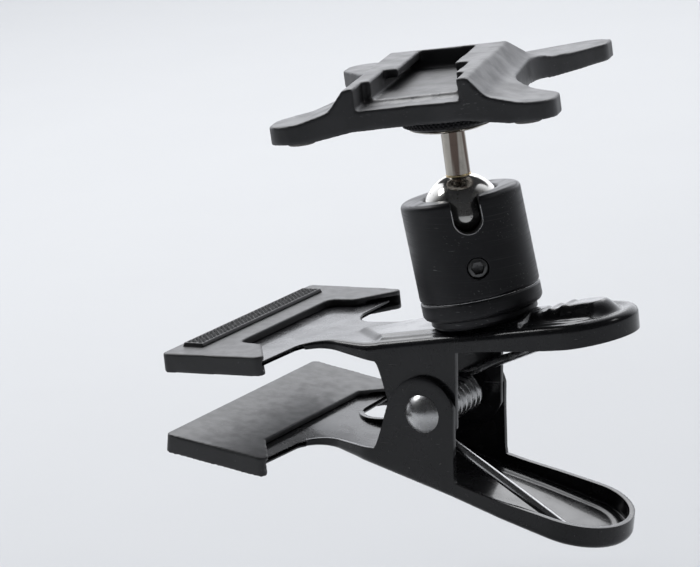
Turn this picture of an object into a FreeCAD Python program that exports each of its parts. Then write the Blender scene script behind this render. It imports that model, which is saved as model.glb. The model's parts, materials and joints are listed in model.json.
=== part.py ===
import FreeCAD, Part
import math
import os
import Sketcher

# A spring clamp with a small ball head and a four-legged accessory-shoe stand.
# The origin is the middle of the upper jaw pad's grip face, +X runs back to the handles,
# +Y runs along the pivot rivet and +Z is up.

doc = FreeCAD.newDocument("clamp_stand")
sheet = doc.addObject("Spreadsheet::Sheet", "dims")

DIMENSIONS = [
    # clamp levers, in a frame whose origin is the pivot and whose XY plane is parallel to the jaw
    ("pivot_back", 40.0), ("pivot_drop", 12.4), ("jaw_rest", 10.7), ("handle_rise", 7.18),
    ("plate_top", 15.0), ("sheet_thick", 1.2), ("bend_ahead", 15.0),
    ("upper_half", 10.9), ("lower_half", 12.3), ("handle_flare", 0.9), ("upper_end", 48.3), ("lower_end", 46.9),
    ("waist_half", 8.2), ("waist_ahead", 26.0), ("tee_half", 29.6), ("tee_front", 53.5), ("tee_back", 30.5),
    ("lobe_radius", 8.4), ("flange_near", 4.0), ("flange_far", 5.4), ("emboss_rise", 1.0),
    ("emboss_point", 33.0), ("emboss_shoulder", 22.5), ("emboss_half", 8.8), ("emboss_back", 13.0),
    # jaw pads
    ("pad_front", 15.0), ("pad_half", 31.9), ("pad_wing", 12.4), ("pad_bar_back", 2.0), ("pad_web", 4.6),
    ("pad_thick", 4.4), ("grip_strip_long", 51.0), ("grip_strip_wide", 5.5), ("grip_strip_high", 0.9),
    # rivet and spring
    ("rivet_radius", 2.4), ("rivet_play", 0.06), ("rivet_head", 4.3), ("rivet_dome", 2.1),
    ("wire_radius", 1.05), ("coil_radius", 3.65), ("coil_pitch", 2.2), ("coil_turns", 7.351),
    ("coil_start", 236.3), ("upper_leg", 40.0), ("lower_leg", 36.0), ("leg_gap", 0.3),
    # ball head, heights measured from the lever's outer face along the head's axis
    ("head_back", 11.63), ("head_radius", 13.5), ("foot_radius", 12.0), ("foot_top", 3.5),
    ("base_top", 7.3), ("groove_gap", 0.1), ("thread_radius", 10.5), ("thread_play", 0.1),
    ("neck_radius", 9.3), ("thread_top", 10.9), ("neck_top", 15.6), ("rim_top", 29.75),
    ("rim_round", 1.1), ("rim_opening", 8.2), ("ball_height", 25.3), ("ball_radius", 8.9),
    ("ball_play", 0.15), ("seat_low", 16.6), ("seat_high", 20.4), ("seat_bore", 4.0),
    ("notch_wide", 6.3), ("notch_turn", -55.5), ("grub_radius", 2.35), ("grub_height", 14.4),
    ("screw_radius", 3.0),
    # stem, lock disc and stand, heights measured from the ball's centre along the stem
    ("stem_lean", 2.5), ("stem_radius", 2.7), ("stem_root", 6.0), ("stud_low", 19.4),
    ("stud_radius", 3.1), ("stud_top", 29.5), ("disc_radius", 10.8), ("disc_low", 20.3),
    ("disc_top", 24.8), ("disc_belly", 18.9), ("disc_play", 0.1), ("knurl_count", 60),
    ("stand_turn", 18.5), ("leg_bottom", 25.45), ("foot_thick", 0.7), ("foot_pad_radius", 3.0),
    ("hub_bottom", 26.7), ("boss_bottom", 24.95), ("boss_radius", 9.0), ("shoe_floor", 31.7),
    ("lip_bottom", 33.9), ("rail_top", 35.9), ("rail_half", 13.3), ("leg_top", 29.3),
    ("leg_side", 25.0), ("leg_front", 35.0), ("leg_rear", 36.5), ("leg_round", 6.0),
    ("waist_side", 18.0), ("hub_rear", 7.0), ("slot_half", 9.4), ("neck_half", 6.4), ("lead_half", 11.2),
    ("insert_radius", 4.8),
]
for row, (alias, number) in enumerate(DIMENSIONS, start=1):
    sheet.set("A%d" % row, alias)
    sheet.set("B%d" % row, str(number))
    sheet.setAlias("B%d" % row, alias)
doc.recompute()


def size(alias):
    """The number that the sheet holds under an alias."""
    return float(sheet.get(alias))


V = FreeCAD.Vector
X_AXIS, Y_AXIS, Z_AXIS = V(1, 0, 0), V(0, 1, 0), V(0, 0, 1)
NO_TURN = FreeCAD.Rotation()
parts = []

# ---------------------------------------------------------------- frames of the sub-assemblies

pivot = V(size("pivot_back"), 0, -size("pivot_drop"))
upper_frame = FreeCAD.Placement(pivot, NO_TURN)
lower_turn = FreeCAD.Rotation(Y_AXIS, size("jaw_rest")) * FreeCAD.Rotation(X_AXIS, 180)
lower_frame = FreeCAD.Placement(pivot, lower_turn)

rise = math.tan(math.radians(size("handle_rise")))
head_level = size("plate_top") + (size("head_back") + size("bend_ahead")) * rise
head_frame = FreeCAD.Placement(pivot + V(size("head_back"), 0, head_level),
                               FreeCAD.Rotation(Y_AXIS, -size("handle_rise")))
ball_centre = head_frame.multVec(V(0, 0, size("ball_height")))
stem_frame = FreeCAD.Placement(ball_centre, FreeCAD.Rotation(Y_AXIS, -size("stem_lean")))
stand_frame = stem_frame * FreeCAD.Placement(V(), FreeCAD.Rotation(Z_AXIS, size("stand_turn")))


def keep(obj, label, frame):
    """Name a finished sub-part and put it in its place."""
    obj.Label = label
    obj.Placement = frame
    parts.append(obj)
    return obj


def feature(label, shape, frame):
    """A sub-part whose shape is built by the functions below."""
    obj = doc.addObject("Part::Feature", label)
    obj.Shape = shape
    return keep(obj, label, frame * shape.Placement)


# ---------------------------------------------------------------- outlines and solids

def rounded_face(points):
    """A face in the XY plane through (x, y, corner radius) points."""
    edges = []
    ends = []
    count = len(points)
    for i, (x, y, radius) in enumerate(points):
        corner = V(x, y, 0)
        if radius == 0:
            ends.append((corner, corner, None))
            continue
        before = V(*points[i - 1][:2], 0) - corner
        after = V(*points[(i + 1) % count][:2], 0) - corner
        before.normalize()
        after.normalize()
        half = before.getAngle(after) / 2
        start = corner + before * (radius / math.tan(half))
        end = corner + after * (radius / math.tan(half))
        bisector = before + after
        bisector.normalize()
        middle = corner + bisector * (radius / math.sin(half) - radius)
        ends.append((start, end, middle))
    for i, (start, end, middle) in enumerate(ends):
        if middle is not None:
            edges.append(Part.Arc(start, middle, end).toShape())
        following = ends[(i + 1) % count][0]
        if end.distanceToPoint(following) > 1e-6:
            edges.append(Part.LineSegment(end, following).toShape())
    return Part.Face(Part.Wire(edges))


def mirrored(half_outline):
    """Points of a half outline with y > 0, followed by their mirror image."""
    return half_outline + [(x, -y, radius) for x, y, radius in reversed(half_outline)]


def plan_prism(points, low, high):
    """An outline in plan, extruded between two heights."""
    face = rounded_face(points)
    face.translate(V(0, 0, low))
    return face.extrude(V(0, 0, high - low))


def side_prism(points, half_width):
    """An outline of (x, z, radius) points, extruded to both sides of the XZ plane."""
    face = rounded_face(points)
    face.rotate(V(), X_AXIS, 90)
    face.translate(V(0, half_width, 0))
    return face.extrude(V(0, -2 * half_width, 0))


def front_prism(points, near, far):
    """An outline of (x, z, radius) points, extruded along Y."""
    face = rounded_face(points)
    face.rotate(V(), X_AXIS, 90)
    face.translate(V(0, near, 0))
    return face.extrude(V(0, far - near, 0))


def revolved_body(label, outline, frame):
    """A PartDesign body turned about Z. The outline's points are (radius, height) formulas."""
    body = doc.addObject("PartDesign::Body", label)
    sketch = body.newObject("Sketcher::SketchObject", label + "_profile")
    plane = [item for item in body.Origin.OriginFeatures if item.Role == "XZ_Plane"][0]
    sketch.AttachmentSupport = [(plane, "")]
    sketch.MapMode = "FlatFace"
    numbers = [(formula(radius), formula(height)) for radius, height in outline]
    count = len(outline)
    for i in range(count):
        start = V(*numbers[i], 0)
        end = V(*numbers[(i + 1) % count], 0)
        sketch.addGeometry(Part.LineSegment(start, end), False)
    for i in range(count):
        sketch.addConstraint(Sketcher.Constraint("Coincident", i, 2, (i + 1) % count, 1))
    for i, (radius, height) in enumerate(outline):
        for kind, text, number in (("DistanceX", radius, numbers[i][0]), ("DistanceY", height, numbers[i][1])):
            index = sketch.addConstraint(Sketcher.Constraint(kind, -1, 1, i, 1, number))
            sketch.setExpression("Constraints[%d]" % index, bound(text))
    turning = body.newObject("PartDesign::Revolution", label + "_turned")
    turning.Profile = sketch
    turning.ReferenceAxis = (sketch, ["V_Axis"])
    turning.Angle = 360
    body.Tip = turning
    doc.recompute()
    return keep(body, label, frame)


def bound(text):
    """The same formula, with its words pointing at the sheet's cells."""
    return " ".join("dims." + word if word[0].isalpha() else word for word in text.split())


def formula(text):
    """The value of a formula of sheet words, numbers, + - and *."""
    total, sign, product = 0.0, 1.0, None
    for word in text.split() + ["+"]:
        if word in "+-":
            total += sign * (product or 0.0)
            sign, product = (1.0 if word == "+" else -1.0), None
        elif word != "*":
            factor = size(word) if word[0].isalpha() else float(word)
            product = factor if product is None else product * factor
    return total


def cylinder(radius, low, high):
    """A solid cylinder about Z between two heights."""
    return Part.makeCylinder(radius, high - low, V(0, 0, low))


# ---------------------------------------------------------------- clamp levers

def plate_level(x):
    """Height of a lever's outer face above the pivot, x behind the pivot."""
    return size("plate_top") + max(0.0, x + size("bend_ahead")) * rise


def lever_plan(half_width, end, inset):
    """Outline of a lever in plan: tee, waist, body and round-ended handle, moved in by inset."""
    flare = half_width + size("handle_flare") - inset
    end = end - inset
    tee = size("tee_half") - inset
    half = [
        (-size("tee_front") + inset, tee, 1.5),
        (-size("tee_back") - inset, tee - 0.8, 1.5),
        (-size("tee_back") + 0.6 - inset, size("waist_half") + 5.5, 6.0),
        (-size("waist_ahead"), size("waist_half") - inset, 5.0),
        (-size("bend_ahead") + 1, half_width - inset, 10.0),
        (8.0, half_width - inset, 30.0),
        (22.0, flare, 30.0),
        (end, flare, flare - 0.01),
    ]
    return mirrored(half)


def lever_side():
    """Outline of a lever from the side: flat jaw, ear with a round lobe, flanged handle."""
    under = plate_level(-60) - size("sheet_thick")
    lobe = size("lobe_radius")
    end = size("upper_end") + 2
    return [
        (-size("tee_front") - 1, under, 0),
        (-size("tee_back"), under, 0),
        (-size("waist_ahead") + 3, under - 1.6, 3.0),
        (-12.5, under - 3.6, 4.0),
        (-lobe - 0.6, 1.0, 8.0),
        (-lobe + 1.1, -lobe + 1.4, 4.6),
        (0.2, -lobe, 9.0),
        (lobe - 1.5, -lobe + 1.4, 4.6),
        (lobe - 0.5, 0.5, 12.0),
        (lobe + 0.7, plate_level(10) - size("flange_near") - 0.2, 2.5),
        (end - 12, plate_level(end - 12) - size("flange_far"), 20.0),
        (end, plate_level(end) - size("flange_far"), 0),
        (end, plate_level(end), 0),
        (-size("bend_ahead"), plate_level(-60), 0),
        (-size("tee_front") - 1, plate_level(-60), 0),
    ]


def lever_hollow_side():
    """Outline of the space under a lever's plate."""
    thick = size("sheet_thick")
    end = size("upper_end") + 2
    return [
        (-size("tee_back"), -40, 0),
        (end, -40, 0),
        (end, plate_level(end) - thick, 0),
        (-size("bend_ahead"), plate_level(-60) - thick, 0),
        (-size("tee_back"), plate_level(-60) - thick, 0),
    ]


def lever(half_width, end, rivet_hole):
    """A pressed lever, its walls a sheet thick, with the rivet hole through both ears."""
    outer = plan_prism(lever_plan(half_width, end, 0), -20, 40).common(side_prism(lever_side(), 60))
    inner = plan_prism(lever_plan(half_width, end, size("sheet_thick")), -45, 45)
    hollow = inner.common(side_prism(lever_hollow_side(), 60))
    hole = Part.makeCylinder(rivet_hole, 60, V(0, -30, 0), Y_AXIS)
    return outer.cut(hollow).cut(hole)


def emboss():
    """The raised five-sided panel under the head, with a point towards the jaw."""
    half_width = size("emboss_half")
    flat = mirrored([(-size("emboss_point"), 0.01, 0), (-size("emboss_shoulder"), half_width, 1.5),
                     (size("emboss_back"), half_width, 3.0)])
    return plan_prism(flat, 0, size("emboss_rise"))


def upper_lever():
    """The upper lever carries the head: embossed panel and the head screw's clearance hole."""
    shape = lever(size("upper_half"), size("upper_end"), size("rivet_radius"))
    panel = emboss()
    panel.Placement = upper_frame.inverse() * head_frame
    hole = cylinder(size("screw_radius"), -5, 5)
    hole.Placement = upper_frame.inverse() * head_frame
    return shape.fuse(panel).cut(hole).removeSplitter()


feature("upper_lever", upper_lever(), upper_frame)
feature("lower_lever", lever(size("lower_half"), size("lower_end"), size("rivet_radius") + size("rivet_play")),
        lower_frame)


# ---------------------------------------------------------------- jaw pads

def jaw_pad(half_width, end):
    """A rubber sleeve over the tee: a bar, two wings, a web on the grip side and a raised strip."""
    grip = size("pivot_drop")
    ahead = size("pivot_back")
    half = [
        (-size("pad_front") - ahead, size("pad_half"), 1.6),
        (size("pad_wing") - ahead, size("pad_half") - 0.8, 1.5),
        (size("pad_web") - ahead, 20.2, 1.5),
        (-size("pad_bar_back") - ahead, 19.4, 2.5),
    ]
    block = plan_prism(mirrored(half), grip, grip + size("pad_thick"))
    strip_x = -10.4 - ahead
    strip_y = size("grip_strip_long") / 2
    reach = size("grip_strip_wide") / 2
    strip = plan_prism([(strip_x - reach, strip_y, 1.5), (strip_x + reach, strip_y, 1.5),
                        (strip_x + reach, -strip_y, 1.5), (strip_x - reach, -strip_y, 1.5)],
                       grip + size("pad_thick"), grip + size("pad_thick") + size("grip_strip_high"))
    web_front, web_back = -size("pad_bar_back") - 1, size("pad_web")
    web = Part.makeBox(web_back - web_front, 2 * 20.2, size("plate_top") - size("sheet_thick") - grip,
                       V(web_front - ahead, -20.2, grip))
    sleeve = block.fuse([strip, web]).removeSplitter()
    return sleeve.cut(lever(half_width, end, size("rivet_radius")))


feature("upper_jaw_pad", jaw_pad(size("upper_half"), size("upper_end")), upper_frame)
feature("lower_jaw_pad", jaw_pad(size("lower_half"), size("lower_end")), lower_frame)


# ---------------------------------------------------------------- rivet and torsion spring

def rivet():
    """A plain shank across both levers with a domed head at each end."""
    face = size("lower_half")
    radius = size("rivet_head")
    dome = size("rivet_dome")
    ball = (radius ** 2 + dome ** 2) / (2 * dome)
    shape = Part.makeCylinder(size("rivet_radius"), 2 * face + 1, V(0, -face - 0.5, 0), Y_AXIS)
    for side in (1, -1):
        sphere = Part.makeSphere(ball, V(0, side * (face + 0.05 + dome - ball), 0))
        slab = Part.makeBox(20, dome + 1, 20, V(-10, face + 0.05, -10))
        if side < 0:
            slab.rotate(V(), X_AXIS, 180)
        shape = shape.fuse(sphere.common(slab))
    return shape.removeSplitter()


feature("pivot_rivet", rivet(), upper_frame)


def rod(start, end, radius):
    """A round bar between two points."""
    way = end - start
    return Part.makeCylinder(radius, way.Length, start, way)


def coil_point(angle, along):
    """A point of the coil's middle line, its angle measured from +X towards +Z."""
    turn = math.radians(angle)
    return V(size("coil_radius") * math.cos(turn), along, size("coil_radius") * math.sin(turn))


def torsion_spring():
    """The coil about the rivet, with its upper leg reaching back under the upper handle."""
    radius, wire = size("coil_radius"), size("wire_radius")
    long = size("coil_pitch") * size("coil_turns")
    path = Part.makeHelix(size("coil_pitch"), long, radius)
    ring = Part.Wire(Part.makeCircle(wire, V(radius, 0, 0), Y_AXIS))
    coil = Part.Wire(path.Edges).makePipeShell([ring], True, True)
    coil.translate(V(0, 0, -long / 2))
    coil.rotate(V(), X_AXIS, -90)
    coil.rotate(V(), Y_AXIS, -size("coil_start"))
    end = size("coil_start") - 360 * size("coil_turns")
    start = coil_point(end, long / 2)
    slope = -math.cos(math.radians(end)) / math.sin(math.radians(end))
    reach = size("upper_leg") - start.x
    leg = rod(start, start + V(reach, 0, reach * slope), wire)
    knuckle = Part.makeSphere(wire, start)
    return coil.fuse([leg, knuckle]).removeSplitter()


def torsion_spring_lower_leg():
    """The spring's other leg, which presses on the inside of the lower handle."""
    wire = size("wire_radius")
    along = -size("coil_pitch") * size("coil_turns") / 2
    start = coil_point(size("coil_start"), along)
    rest = plate_level(size("lower_leg")) - size("sheet_thick") - wire
    end = lower_turn.multVec(V(size("lower_leg"), -along, rest))
    way = end - start
    way.normalize()
    return rod(start + way * (wire + size("leg_gap")), end, wire)


feature("torsion_spring", torsion_spring(), upper_frame)
feature("torsion_spring_lower_leg", torsion_spring_lower_leg(), upper_frame)

# ---------------------------------------------------------------- ball head

revolved_body("head_base", [
    ("screw_radius", "emboss_rise"),
    ("foot_radius - 1", "emboss_rise"),
    ("foot_radius", "emboss_rise + 0.8"),
    ("foot_radius", "foot_top - 0.7"),
    ("head_radius - 0.5", "foot_top"),
    ("head_radius", "foot_top + 0.6"),
    ("head_radius", "base_top - 0.4"),
    ("head_radius - 0.4", "base_top"),
    ("thread_radius", "base_top"),
    ("thread_radius", "thread_top"),
    ("neck_radius", "thread_top + 1"),
    ("neck_radius", "neck_top"),
    ("screw_radius", "neck_top"),
], head_frame)


def ball_housing():
    """Outer shell of the head: threaded skirt, seat bore, ball cavity, rounded rim."""
    cavity = size("ball_radius") + size("ball_play")
    outer, top, low = size("head_radius"), size("rim_top"), size("base_top") + size("groove_gap")
    crown = math.sqrt(cavity ** 2 - size("rim_opening") ** 2)
    centre = size("ball_height")
    round_ = size("rim_round")
    skirt = size("thread_radius") + size("thread_play")
    points = [V(skirt, 0, low), V(outer - 0.4, 0, low), V(outer, 0, low + 0.4), V(outer, 0, top - round_)]
    edges = [Part.LineSegment(a, b).toShape() for a, b in zip(points, points[1:])]
    lean = round_ * (1 - math.sqrt(0.5))
    edges.append(Part.Arc(points[-1], V(outer - lean, 0, top - lean), V(outer - round_, 0, top)).toShape())
    inner_top = V(size("rim_opening") + 0.5, 0, top)
    lip = V(size("rim_opening"), 0, top - 0.3)
    edges.append(Part.LineSegment(V(outer - round_, 0, top), inner_top).toShape())
    edges.append(Part.LineSegment(inner_top, lip).toShape())
    throat = V(size("rim_opening"), 0, centre + crown)
    edges.append(Part.LineSegment(lip, throat).toShape())
    angle = math.atan2(crown, size("rim_opening")) / 2
    middle = V(cavity * math.cos(angle), 0, centre + cavity * math.sin(angle))
    edges.append(Part.Arc(throat, middle, V(cavity, 0, centre)).toShape())
    points = [V(cavity, 0, centre), V(cavity, 0, size("neck_top") + 0.4), V(skirt, 0, size("neck_top") + 0.4),
              V(skirt, 0, low)]
    edges += [Part.LineSegment(a, b).toShape() for a, b in zip(points, points[1:])]
    shell = Part.Face(Part.Wire(edges)).revolve(V(), Z_AXIS, 360)
    half = size("notch_wide") / 2
    notch = Part.makeCylinder(half, 20, V(0, 0, centre), X_AXIS)
    notch = notch.fuse(Part.makeBox(20, 2 * half, 20, V(0, -half, centre)))
    grub = Part.makeCylinder(size("grub_radius"), 20, V(0, 0, size("grub_height")), X_AXIS)
    for tool in (notch, grub):
        tool.rotate(V(), Z_AXIS, size("notch_turn"))
        shell = shell.cut(tool)
    return shell


def housing_grub_screw():
    """Set screw in the housing's wall, with a hex socket outside and a flat tip at the neck."""
    across = 2.5 / math.sqrt(3)
    body = Part.makeCylinder(size("grub_radius"), size("head_radius") - size("neck_radius") - 0.5,
                             V(size("neck_radius") + 0.15, 0, 0), X_AXIS)
    socket = Part.Face(Part.makePolygon([V(0, across * math.cos(k * math.pi / 3), across * math.sin(k * math.pi / 3))
                                         for k in range(7)]))
    socket.translate(V(size("head_radius") - 2.2, 0, 0))
    body = body.cut(socket.extrude(V(5, 0, 0)))
    body.translate(V(0, 0, size("grub_height")))
    body.rotate(V(), Z_AXIS, size("notch_turn"))
    return body


feature("ball_housing", ball_housing(), head_frame)
feature("housing_grub_screw", housing_grub_screw(), head_frame)


def ball_seat():
    """Plastic cup under the ball."""
    cup = cylinder(size("ball_radius") + size("ball_play") - 0.15, size("seat_low"), size("seat_high"))
    cup = cup.cut(cylinder(size("seat_bore"), 0, 30))
    return cup.cut(Part.makeSphere(size("ball_radius") + size("ball_play"), V(0, 0, size("ball_height"))))


def seat_spring():
    """Coned disc spring between the neck and the seat."""
    low, high = size("neck_top"), size("seat_low")
    thick = 0.5
    points = [V(5.0, 0, high - thick), V(8.6, 0, low), V(8.6, 0, low + thick), V(5.0, 0, high), V(5.0, 0, high - thick)]
    return Part.Face(Part.makePolygon(points)).revolve(V(), Z_AXIS, 360)


feature("ball_seat", ball_seat(), head_frame)
feature("seat_spring", seat_spring(), head_frame)


def head_screw():
    """Screw that holds the head's base to the lever, with a socket head under the plate."""
    under = -size("sheet_thick") - 0.8
    across = 5.0 / math.sqrt(3)
    shank = cylinder(size("screw_radius"), under, size("neck_top") - 4)
    head = cylinder(5.0, under - 3.0, under)
    socket = Part.Face(Part.makePolygon([V(across * math.cos(k * math.pi / 3), across * math.sin(k * math.pi / 3), 0)
                                         for k in range(7)]))
    socket.translate(V(0, 0, under - 3.0))
    return shank.fuse(head).removeSplitter().cut(socket.extrude(V(0, 0, 2.2)))


feature("head_screw", head_screw(), head_frame)
feature("head_screw_washer", cylinder(5.4, -size("sheet_thick") - 0.8, -size("sheet_thick"))
        .cut(cylinder(size("screw_radius"), -5, 5)), head_frame)


# ---------------------------------------------------------------- ball, stem and lock disc

ball_blank = Part.makeSphere(size("ball_radius")).cut(cylinder(size("stem_radius"), size("stem_root"), 20))
feature("ball", ball_blank, stem_frame)
revolved_body("stem_stud", [
    ("0", "stem_root"),
    ("stem_radius", "stem_root"),
    ("stem_radius", "stud_low"),
    ("stud_radius", "stud_low + 0.4"),
    ("stud_radius", "stud_top - 0.6"),
    ("stud_radius - 0.6", "stud_top"),
    ("0", "stud_top"),
], stem_frame)


def lock_disc():
    """Knurled nut with a shallow domed underside."""
    bore = size("stud_radius") + size("disc_play")
    outer, belly, low, top = size("disc_radius"), size("disc_belly"), size("disc_low"), size("disc_top")
    edges = [Part.LineSegment(V(bore, 0, top), V(bore, 0, belly)).toShape(),
             Part.LineSegment(V(bore, 0, belly), V(5.0, 0, belly)).toShape(),
             Part.Arc(V(5.0, 0, belly), V(8.2, 0, belly + 0.5), V(outer - 0.6, 0, low)).toShape()]
    points = [V(outer - 0.6, 0, low), V(outer, 0, low + 0.4), V(outer, 0, top - 0.8), V(outer - 0.6, 0, top - 0.3),
              V(outer - 0.6, 0, top), V(bore, 0, top)]
    edges += [Part.LineSegment(a, b).toShape() for a, b in zip(points, points[1:])]
    disc = Part.Face(Part.Wire(edges)).revolve(V(), Z_AXIS, 360)
    count = int(size("knurl_count"))
    grooves = []
    for k in range(count):
        groove = Part.makeBox(0.5, 0.5, top)
        groove.translate(V(-0.25, -0.25, low - 0.5))
        groove.rotate(V(), Z_AXIS, 45)
        groove.translate(V(outer + 0.05, 0, 0))
        groove.rotate(V(), Z_AXIS, 360.0 * k / count)
        grooves.append(groove)
    return disc.cut(grooves)


feature("lock_disc", lock_disc(), stand_frame)


# ---------------------------------------------------------------- stand

def stand_plan():
    """Outline of the stand in plan: four legs, concave between them."""
    side, front, rear = size("leg_side") + size("leg_round"), size("leg_front"), size("leg_rear")
    waist, tip = size("waist_side"), size("leg_round")
    half = [
        (-front - tip + 2.0, 0.01, 0),
        (-front - tip, side - 5.0, 4.0),
        (-front - tip + 1.5, side, 5.0),
        (-front + tip - 1.0, side, 5.5),
        (-18.0, waist + 0.5, 16.0),
        (10.0, waist - 0.5, 16.0),
        (rear - tip + 1.0, side, 5.5),
        (rear + tip - 1.5, side, 5.0),
        (rear + tip, side - 6.0, 4.0),
        (rear - 8.0, 8.0, 14.0),
    ]
    return [(y, x, radius) for x, y, radius in mirrored(half)]


def stand_front():
    """Outline of the stand from the front: flat rails, sloped shoulders, low legs and an arch."""
    rail, top, leg = size("rail_half"), size("rail_top"), size("leg_top")
    side = size("leg_side") + size("leg_round") + 1
    half = [
        (side, size("leg_bottom"), 0),
        (side, leg, 0),
        (24.0, leg + 0.4, 10.0),
        (17.0, leg + 2.2, 4.0),
        (rail, top, 1.0),
    ]
    under = [(-21.0, size("leg_bottom"), 2.0), (-12.5, size("hub_bottom"), 12.0),
             (12.5, size("hub_bottom"), 12.0), (21.0, size("leg_bottom"), 2.0)]
    return half + [(-x, z, radius) for x, z, radius in reversed(half)] + under


def stand_body():
    """Moulded stand with its shoe slot, centre boss and recesses for the feet."""
    reach = size("leg_front") + size("leg_round") + 2
    shape = plan_prism(stand_plan(), 20, 40).common(front_prism(stand_front(), -reach, reach))
    hub, rear, above = size("hub_rear"), size("leg_rear") + size("leg_round") + 2, size("rail_top") + 10
    slope = rounded_face([(hub, size("rail_top"), 2), (hub + 8, size("leg_top") + 0.9, 7),
                          (rear, size("leg_top") - 0.4, 0), (rear, above, 0), (hub, above, 0)])
    slope.rotate(V(), X_AXIS, 90)
    slope.rotate(V(), Z_AXIS, 90)
    slope.translate(V(-40, 0, 0))
    shape = shape.cut(slope.extrude(V(80, 0, 0)))
    shape = shape.fuse(cylinder(size("boss_radius"), size("boss_bottom"), size("hub_bottom") + 1))
    floor, lip, top = size("shoe_floor"), size("lip_bottom"), size("rail_top") + 1
    slot, neck, lead = size("slot_half"), size("neck_half"), size("lead_half")
    stop = 6.0
    lips = -17.0
    shape = shape.cut(Part.makeBox(2 * slot, reach + stop, lip - floor, V(-slot, -reach, floor)))
    shape = shape.cut(Part.makeBox(2 * neck, reach + stop, top - floor, V(-neck, -reach, floor)))
    shape = shape.cut(Part.makeBox(2 * slot, reach + lips, top - floor, V(-slot, -reach, floor)))
    shape = shape.cut(Part.makeBox(2 * lead, reach - 31.0, top - floor + 0.6, V(-lead, -reach, floor - 0.6)))
    return shape.cut(cylinder(size("insert_radius"), 0, floor - 0.7)).removeSplitter()


def stand_foot(side, along):
    """A small rubber disc under a leg."""
    low = size("leg_bottom") - size("foot_thick")
    foot = cylinder(size("foot_pad_radius"), low, size("leg_bottom"))
    foot.translate(V(side, along, 0))
    return foot


feature("stand_body", stand_body(), stand_frame)
revolved_body("thread_insert", [
    ("stud_radius + disc_play", "boss_bottom"),
    ("insert_radius", "boss_bottom"),
    ("insert_radius", "shoe_floor - 0.7"),
    ("stud_radius + disc_play", "shoe_floor - 0.7"),
], stand_frame)
for end, along in (("front", -size("leg_front") - 1.0), ("rear", size("leg_rear"))):
    for name, side in (("left", -size("leg_side") + 0.5), ("right", size("leg_side") - 0.5)):
        feature("stand_foot_%s_%s" % (end, name), stand_foot(side, along), stand_frame)

doc.recompute()
for item in doc.Objects:
    if "Invalid" in item.State or "Error" in item.State:
        raise RuntimeError(item.Label + " failed: " + str(item.State))
for item in parts:
    if item.Shape.isNull() or not item.Shape.isValid():
        raise RuntimeError(item.Label + " has no valid shape")

os.makedirs("parts", exist_ok=True)
for item in parts:
    item.Shape.exportStep("parts/" + item.Label + ".step")
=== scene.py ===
import json
import math

import bmesh
import bpy
from mathutils import Matrix, Vector


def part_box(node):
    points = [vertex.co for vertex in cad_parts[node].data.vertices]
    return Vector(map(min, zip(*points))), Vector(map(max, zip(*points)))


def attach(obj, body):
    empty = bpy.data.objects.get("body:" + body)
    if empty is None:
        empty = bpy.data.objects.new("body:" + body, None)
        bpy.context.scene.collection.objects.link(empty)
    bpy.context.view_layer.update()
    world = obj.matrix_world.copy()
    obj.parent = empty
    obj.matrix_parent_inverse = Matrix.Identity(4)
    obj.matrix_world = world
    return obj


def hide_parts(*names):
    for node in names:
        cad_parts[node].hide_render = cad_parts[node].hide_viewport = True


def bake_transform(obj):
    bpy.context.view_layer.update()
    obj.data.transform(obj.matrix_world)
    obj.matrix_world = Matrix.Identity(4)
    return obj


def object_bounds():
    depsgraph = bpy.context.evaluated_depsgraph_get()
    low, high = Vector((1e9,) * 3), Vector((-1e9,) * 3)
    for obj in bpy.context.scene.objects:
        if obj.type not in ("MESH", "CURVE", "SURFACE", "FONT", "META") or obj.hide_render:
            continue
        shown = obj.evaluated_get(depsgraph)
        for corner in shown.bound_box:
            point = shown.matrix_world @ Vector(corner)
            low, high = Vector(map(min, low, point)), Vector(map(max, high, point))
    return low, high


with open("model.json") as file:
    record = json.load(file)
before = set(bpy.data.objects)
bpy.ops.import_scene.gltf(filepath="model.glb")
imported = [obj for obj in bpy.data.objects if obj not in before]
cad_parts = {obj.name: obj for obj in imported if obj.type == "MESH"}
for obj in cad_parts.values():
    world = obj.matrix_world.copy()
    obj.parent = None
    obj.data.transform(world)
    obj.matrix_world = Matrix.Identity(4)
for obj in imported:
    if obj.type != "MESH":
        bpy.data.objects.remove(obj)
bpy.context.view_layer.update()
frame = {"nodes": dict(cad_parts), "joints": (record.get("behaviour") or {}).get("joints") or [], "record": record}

# A spring clamp with a small ball head and a four-legged accessory-shoe stand.
# Shapes are drawn in millimetres in the frame of their sub-assembly and then placed in metres.

MM = 0.001
JOINTS = {joint["name"]: joint for joint in frame["joints"]}
PIVOT = Vector(JOINTS["jaw_open"]["pos_m"]) / MM
BALL = Vector(JOINTS["ball_tilt"]["pos_m"]) / MM
HEAD_AXIS = Vector(JOINTS["head_pan"]["axis"])
STEM_AXIS = Vector(JOINTS["stand_swivel"]["axis"])

JAW_REST = 10.7          # degrees between the two jaws
HEAD_LEAN = math.degrees(math.atan2(-HEAD_AXIS.x, HEAD_AXIS.z))
STEM_LEAN = math.degrees(math.atan2(-STEM_AXIS.x, STEM_AXIS.z))
STAND_TURN = 18.5
BALL_HEIGHT = 25.3       # ball centre above the lever's face
HEAD_BACK = 11.63        # head axis behind the pivot, at the lever's face
PLATE_TOP = 15.0         # lever's outer face above the pivot, ahead of the bend
BEND = -15.0             # where the lever's plate starts to rise
SHEET = 1.2              # thickness of the lever's sheet


def turned(degrees, axis):
    """A rotation matrix about one axis."""
    return Matrix.Rotation(math.radians(degrees), 4, axis)


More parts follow.
